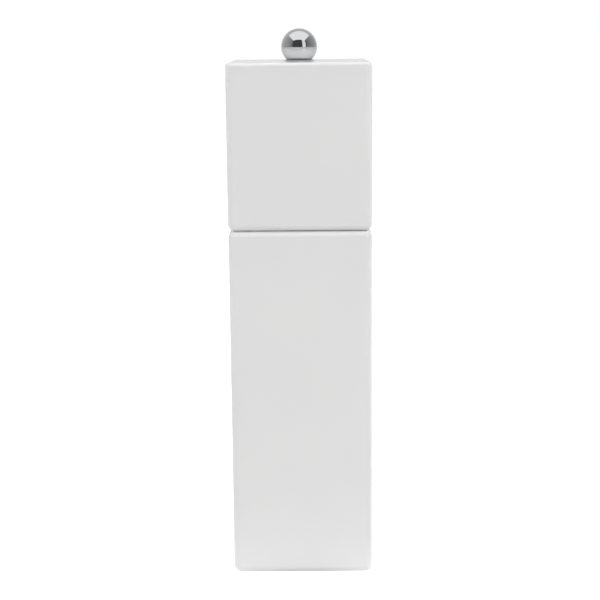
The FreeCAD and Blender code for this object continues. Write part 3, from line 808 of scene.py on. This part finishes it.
# %% The ball and its collar
BALL_SEGMENTS = 128
FOOT_BREAK = 0.25 * MM
COLLAR_BORE = 3.15 * MM
COLLAR_ROUND = 0.1 * MM


def ball_knob():
    low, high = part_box("knob")
    radius = max(high.x, high.y)
    bpy.ops.object.select_all(action="DESELECT")
    bpy.ops.mesh.primitive_uv_sphere_add(
        segments=BALL_SEGMENTS, ring_count=BALL_SEGMENTS // 2, radius=radius, location=(0, 0, high.z - radius)
    )
    ball = start("ball_knob")
    bpy.ops.object.mode_set(mode="EDIT")
    bpy.ops.mesh.select_all(action="SELECT")
    plane = {"plane_co": (0, 0, low.z), "plane_no": (0, 0, 1)}
    bpy.ops.mesh.bisect(clear_inner=True, use_fill=True, threshold=SMALL, **plane)
    tidy_skin()
    bpy.ops.object.mode_set(mode="OBJECT")
    bore = plug(reach("knob_insert") + GLUE, low.z - PAST, top("knob_insert") + TURN_FIT)
    cut(ball, turn("insert_bore", bore))
    apply(ball, "BEVEL", width=FOOT_BREAK, **EDGE_BEVEL)
    return smooth(paint(ball, CHROME_FINISH))


def ball_collar():
    outline = ring(COLLAR_BORE, reach("knob_collar"), bottom("knob_collar"), top("knob_collar"))
    return smooth(paint(turn("ball_collar", outline, soften=COLLAR_ROUND), SATIN_CHROME))


settle(ball_knob(), "knob", "knob")
settle(ball_collar(), "head", "knob_collar")

# %% [markdown]
# ## Threads
#
# A thread is one outline carried round and up at once. A Screw modifier does that: it takes the outline
# of a single turn and repeats it by the pitch. The rod is made a little too long and sliced square at
# both ends. Then its ends are turned down, as on a bolt, by drawing in every point that stands out too
# far for its height.

# %% Threads
THREAD_STEPS = 40
SPARE_TURNS = 2
THREAD_SHAPE = [(0, 0), (0, 0.12), (1, 0.45), (1, 0.57), (0, 1)]


def slice_at(level, keep_above):
    """In edit mode, cuts a piece square at a height and closes the cut."""
    bpy.ops.mesh.select_all(action="SELECT")
    sides = {"clear_inner": keep_above, "clear_outer": not keep_above}
    plane = {"plane_co": (0, 0, level), "plane_no": (0, 0, 1)}
    bpy.ops.mesh.bisect(use_fill=True, threshold=SMALL, **plane, **sides)


def turn_down(piece, limit):
    """Draws in the points of a piece to the radius that is allowed at their height."""
    for vertex in piece.data.vertices:
        radius, allowed = vertex.co.xy.length, limit(vertex.co.z)
        if radius > allowed:
            vertex.co.xy *= allowed / radius


def threaded_rod(name, crest, depth, pitch, low, high):
    """A rod with a helical thread between two heights."""
    points = [(crest - depth * (1 - out), low + (up - SPARE_TURNS) * pitch) for out, up in THREAD_SHAPE]
    rod = draw(name, points)
    turns = math.ceil((high - low) / pitch) + 2 * SPARE_TURNS
    apply(rod, "SCREW", screw_offset=pitch, iterations=turns, steps=THREAD_STEPS, render_steps=THREAD_STEPS)
    bpy.ops.object.mode_set(mode="EDIT")
    tidy_skin()
    slice_at(low, keep_above=True)
    slice_at(high, keep_above=False)
    tidy_skin()
    bpy.ops.object.mode_set(mode="OBJECT")
    return rod


# %% [markdown]
# ## The shaft
#
# The shaft is square bar, turned round where it runs in its bush and threaded at both ends. Each length
# is made by itself, overlapping the next a little, and a union welds them into one skin.

# %% The shaft
DRIVE_SIDE = 6.0 * MM
DRIVE_TOP = 214.0 * MM
SEAT_SIDE = 5.0 * MM
BAR_EDGE = 0.35 * MM
SHOULDER_IN = 0.02 * MM
JOURNAL_TOP = 36.0 * MM
JOURNAL_EDGE = 0.12 * MM
CLIP_GROOVE = 3.6 * MM
CLIP_PLAY = 0.05 * MM
TOP_THREAD = {"crest": 2.95 * MM, "depth": 0.58 * MM, "pitch": 1.0 * MM}
LOW_THREAD = {"crest": 2.45 * MM, "depth": 0.47 * MM, "pitch": 0.8 * MM}
THREAD_LEAD = 0.7 * MM
RUN_OUT = 0.4 * MM
OVERLAP = 0.6 * MM


def square_bar(name, side, low, high):
    """A length of square bar with slightly rounded edges, its upper end turned to a cone."""
    bpy.ops.object.select_all(action="DESELECT")
    size = (side, side, high - low)
    bpy.ops.mesh.primitive_cube_add(size=1, location=(0, 0, (low + high) / 2), scale=size)
    bar = start(name)
    bpy.ops.object.mode_set(mode="EDIT")
    pick(bar, "EDGE", lambda edge: abs(edge.verts[0].co.z - edge.verts[1].co.z) > SMALL)
    bpy.ops.mesh.bevel(offset=BAR_EDGE, segments=EDGE_SEGMENTS, affect="EDGES")
    bpy.ops.object.mode_set(mode="OBJECT")
    shoulder = side / 2 - SHOULDER_IN
    outline = [
        (0, low - side),
        (side, low - side),
        (side, high - side + shoulder),
        (shoulder, high),
        (0, high),
    ]
    envelope = turn("bar_envelope", outline)
    apply(bar, "BOOLEAN", operation="INTERSECT", solver="EXACT", object=envelope)
    bpy.data.objects.remove(envelope)
    return bar


def journal():
    """The round length with the retaining clip's groove."""
    radius, seat = reach("shaft"), top("rotor")
    groove_low, groove_high = bottom("shaft_clip") - CLIP_PLAY, top("shaft_clip") + CLIP_PLAY
    cone = radius - DRIVE_SIDE / 2
    outline = [
        (0, seat),
        (radius, seat),
        (radius, groove_low),
        (CLIP_GROOVE, groove_low),
        (CLIP_GROOVE, groove_high),
        (radius, groove_high),
        (radius, JOURNAL_TOP - cone),
        (DRIVE_SIDE / 2, JOURNAL_TOP),
        (0, JOURNAL_TOP),
    ]
    return turn("mill_shaft", outline, soften=JOURNAL_EDGE)


def top_thread():
    """The thread for the ball, with a run-out at the shoulder and a chamfer at its end."""
    high, crest = top("shaft"), TOP_THREAD["crest"]
    run_out, root = DRIVE_TOP + RUN_OUT, crest - TOP_THREAD["depth"]
    rod = threaded_rod("top_thread", low=DRIVE_TOP - OVERLAP, high=high, **TOP_THREAD)
    turn_down(rod, lambda height: min(crest - THREAD_LEAD + high - height, root + max(0, height - run_out)))
    return paint(rod, PRESSED_STEEL)


def low_thread():
    """The thread for the rotor's nut."""
    low, crest = bottom("shaft"), LOW_THREAD["crest"]
    rod = threaded_rod("low_thread", low=low, high=top("rotor_washer") + OVERLAP, **LOW_THREAD)
    turn_down(rod, lambda height: crest - THREAD_LEAD + height - low)
    return paint(rod, PRESSED_STEEL)


def mill_shaft():
    drive = square_bar("drive_bar", DRIVE_SIDE, JOURNAL_TOP - 2 * OVERLAP, DRIVE_TOP)
    rotor_seat = square_bar("seat_bar", SEAT_SIDE, top("rotor_washer"), top("rotor") + 2 * OVERLAP)
    bars = [paint(bar, DRAWN_STEEL) for bar in (drive, rotor_seat)]
    return smooth(weld(paint(journal(), PRESSED_STEEL), *bars, top_thread(), low_thread()))


settle(mill_shaft(), "shaft", "shaft")

# %% [markdown]
# ## The spring
#
# A spring is a round wire on a helix, so it is the same Screw modifier on a circle. It is wound a
# quarter turn too far at each end and then ground flat, as real ones are, so that it stands square on
# its washer. When the grind is adjusted the real spring is squeezed against the bridge above it; this
# one keeps a single length, on a mesh of its own.

# %% The spring
WIRE = 1.0 * MM
COILS = 5
GROUND_COIL = 0.25
WIRE_SIDES = 20
COIL_STEPS = 56
COIL_ANGLE = 50


def wound_spring():
    low, high = bottom("spring"), top("spring")
    pitch = (high - low - WIRE) / (COILS - 2 * GROUND_COIL)
    place = (reach("spring") - WIRE / 2, 0, low + WIRE / 2 - GROUND_COIL * pitch)
    bpy.ops.object.select_all(action="DESELECT")
    bpy.ops.mesh.primitive_circle_add(
        vertices=WIRE_SIDES, radius=WIRE / 2, fill_type="NGON", location=place, rotation=(math.pi / 2, 0, 0)
    )
    coil = start("wound_spring")
    bpy.ops.object.mode_set(mode="EDIT")
    pick(coil, "FACE", lambda face: True)
    bpy.ops.mesh.delete(type="ONLY_FACE")
    bpy.ops.object.mode_set(mode="OBJECT")
    apply(coil, "SCREW", screw_offset=pitch, iterations=COILS, steps=COIL_STEPS, render_steps=COIL_STEPS)
    bpy.ops.object.mode_set(mode="EDIT")
    tidy_skin()
    bpy.ops.mesh.fill_holes(sides=0)
    slice_at(low, keep_above=True)
    slice_at(high, keep_above=False)
    tidy_skin()
    bpy.ops.object.mode_set(mode="OBJECT")
    return smooth(paint(coil, DRAWN_STEEL), COIL_ANGLE)


spring = wound_spring()
settle(spring, "base", "spring")
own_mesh(spring)

# %% [markdown]
# ## Wood screws
#
# The screws are alike, so one is modelled and copied. It has a countersunk head with a cross recess, and
# a coarse thread that runs out into a point. Screws driven by hand never end at the same angle, so each
# copy is turned.

# %% Wood screws
HEAD_RADIUS = 2.6 * MM
HEAD_RIM = 0.15 * MM
HEAD_EDGE = 0.05 * MM
SCREW_STEPS = 64
SCREW_LENGTH = 12.0 * MM
SCREW_POINT = 2.4 * MM
POINT_RADIUS = 0.06 * MM
SCREW_THREAD = {"crest": 1.4 * MM, "depth": 0.45 * MM, "pitch": 1.25 * MM}
RECESS = (3.0 * MM, 0.7 * MM)
RECESS_DEPTH = 1.1 * MM
SCREW_TURNS = (20, 75, 140)


def cross_recess():
    """The cutter for a cross recess, narrower at its bottom."""
    arms = []
    for turned in (0, math.pi / 2):
        bpy.ops.object.select_all(action="DESELECT")
        size = (*RECESS, 2 * RECESS_DEPTH)
        bpy.ops.mesh.primitive_cube_add(size=1, rotation=(0, 0, turned), scale=size)
        arm = start("recess_arm")
        turn_down(arm, lambda height: RECESS[0] / 2 if height < 0 else RECESS[0] / 4)
        arms.append(arm)
    return weld(*arms)


def wood_screw():
    """One screw, head down at height zero."""
    core = SCREW_THREAD["crest"] - SCREW_THREAD["depth"]
    neck = HEAD_RADIUS - core + HEAD_RIM
    outline = [
        (0, 0),
        (HEAD_RADIUS, 0),
        (HEAD_RADIUS, HEAD_RIM),
        (core, neck),
        (core, 2 * neck),
        (0, 2 * neck),
    ]
    screw = turn("wood_screw", outline, soften=HEAD_EDGE, steps=SCREW_STEPS)
    thread = threaded_rod("screw_thread", low=neck, high=SCREW_LENGTH, **SCREW_THREAD)
    slope = SCREW_THREAD["crest"] / SCREW_POINT
    turn_down(thread, lambda height: POINT_RADIUS + (SCREW_LENGTH - height) * slope)
    weld(screw, thread)
    cut(screw, cross_recess())
    return smooth(paint(screw, DRAWN_STEEL))


def drive_screws(master, body, node):
    """Sets copies of the screw round the axis, in place of a ring of CAD screws."""
    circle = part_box(node)[1].x - HEAD_RADIUS
    for number, turned in enumerate(SCREW_TURNS):
        take(master)
        bpy.ops.object.duplicate()
        screw = bpy.context.object
        angle = 2 * math.pi * number / len(SCREW_TURNS)
        screw.name = f"{node}_{number + 1}"
        screw.location = (circle * math.cos(angle), circle * math.sin(angle), bottom(node))
        screw.rotation_euler.z = math.radians(turned)
        bpy.ops.object.transform_apply(location=True, rotation=True, scale=True)
        settle(screw, body, node)


master_screw = wood_screw()
drive_screws(master_screw, "base", "case_screws")
drive_screws(master_screw, "head", "drive_plate_screws")
bpy.data.objects.remove(master_screw)

# %% [markdown]
# ## Spigot and grinder case
#
# Both are turned, so each is one outline. The spigot is beech, with the drive plate let into its foot.
# The case is pressed and turned steel, with countersunk holes for its screws. Their corners are
# softened, because a line of light along an edge is what tells the eye that a thing is solid.

# %% Spigot and grinder case
FOOT_CHAMFER = 0.8 * MM
CASE_HOLE = 16.0 * MM
CASE_WALL = 1.6 * MM
HOLE_STEPS = 48
WOOD_EDGE = 0.25 * MM
STEEL_EDGE = 0.3 * MM


def head_spigot():
    foot, low, shoulder = reach("head_spigot"), bottom("head_spigot"), top("glide_ring") + SLIP
    plate, plate_top = reach("drive_plate") + SLIP, top("drive_plate")
    high = top("head_spigot")
    outline = [
        (SHAFT_BORE, plate_top),
        (plate, plate_top),
        (plate, low),
        (foot - FOOT_CHAMFER, low),
        (foot, low + FOOT_CHAMFER),
        (foot, shoulder),
        (TENON_RADIUS, shoulder),
        (TENON_RADIUS, high),
        (SHAFT_BORE, high),
        (SHAFT_BORE, plate_top),
    ]
    return smooth(paint(turn("turned_spigot", outline, soften=WOOD_EDGE), BEECH))


def countersinks(node, reach_up):
    """Cutters for a ring of screws."""
    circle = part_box(node)[1].x - HEAD_RADIUS
    low, head, hole = bottom(node), HEAD_RADIUS + SLIP, SCREW_THREAD["crest"] + SLIP
    outline = [
        (0, low - PAST),
        (head, low - PAST),
        (head, low),
        (hole, low + head - hole),
        (hole, low + reach_up),
        (0, low + reach_up),
    ]
    for number in range(len(SCREW_TURNS)):
        cutter = turn("countersink", outline, steps=HOLE_STEPS)
        angle = 2 * math.pi * number / len(SCREW_TURNS)
        cutter.location = (circle * math.cos(angle), circle * math.sin(angle), 0)
        take(cutter)
        bpy.ops.object.transform_apply(location=True, rotation=True, scale=True)
        yield cutter


def grinder_case():
    flange, sleeve, low = reach("grinder_case"), reach("bridge"), bottom("grinder_case")
    flange_top, high = bottom("stator"), top("grinder_case")
    outline = [
        (CASE_HOLE, low),
        (flange, low),
        (flange, flange_top),
        (sleeve, flange_top),
        (sleeve, high),
        (sleeve - CASE_WALL, high),
        (sleeve - CASE_WALL, flange_top),
        (CASE_HOLE, flange_top),
        (CASE_HOLE, low),
    ]
    case = paint(turn("turned_case", outline, soften=STEEL_EDGE), PRESSED_STEEL)
    for cutter in countersinks("case_screws", 2 * (flange_top - low)):
        cut(case, paint(cutter, PRESSED_STEEL))
    return smooth(case)


settle(head_spigot(), "head", "head_spigot")
settle(grinder_case(), "base", "grinder_case")

# %% [markdown]
# ## Finishes on the carried-over pieces
#
# The other pieces keep their CAD shapes, which are right, and get a finish each.

# %% Finishes on the carried-over pieces
KEPT = {
    DRAWN_STEEL: ["rotor_nut", "shaft_clip"],
    PRESSED_STEEL: ["drive_plate", "bridge", "thrust_washer", "rotor_washer"],
    BURR_FINISH: ["rotor", "stator"],
    TURNED_BRASS: ["knob_insert", "top_bush", "bridge_bush"],
    NYLON_FINISH: ["glide_ring"],
}
for finish, names in KEPT.items():
    for name in names:
        nodes[name].material_slots[0].material = finish
    print(finish.name, "on", ", ".join(names))
